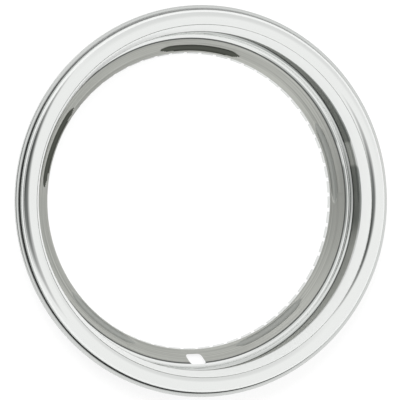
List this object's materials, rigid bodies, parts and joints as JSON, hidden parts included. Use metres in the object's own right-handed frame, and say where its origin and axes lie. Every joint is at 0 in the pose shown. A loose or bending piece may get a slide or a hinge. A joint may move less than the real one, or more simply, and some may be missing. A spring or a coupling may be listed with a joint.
{
  "type": "wheel trim ring",
  "caption": "Polished steel trim ring for a car wheel: rolled outer bead, broad convex crown, deep flared throat, stepped sloping wall with a valve stem hole and a toothed back lip.",
  "frame": {"origin": "on the ring's axis, in the plane of the teeth's tips that it rests on", "axes": "+Z along the axis towards the polished crown; the valve stem hole is at -Y"},
  "size_m": [0.4, 0.4, 0.066],
  "materials": {
    "polished_steel": "mirror-polished stainless steel crown and throat, finer satin on the sloping wall"
  },
  "bodies": {
    "root": {"trim_ring": "polished_steel"}
  },
  "joints": []
}
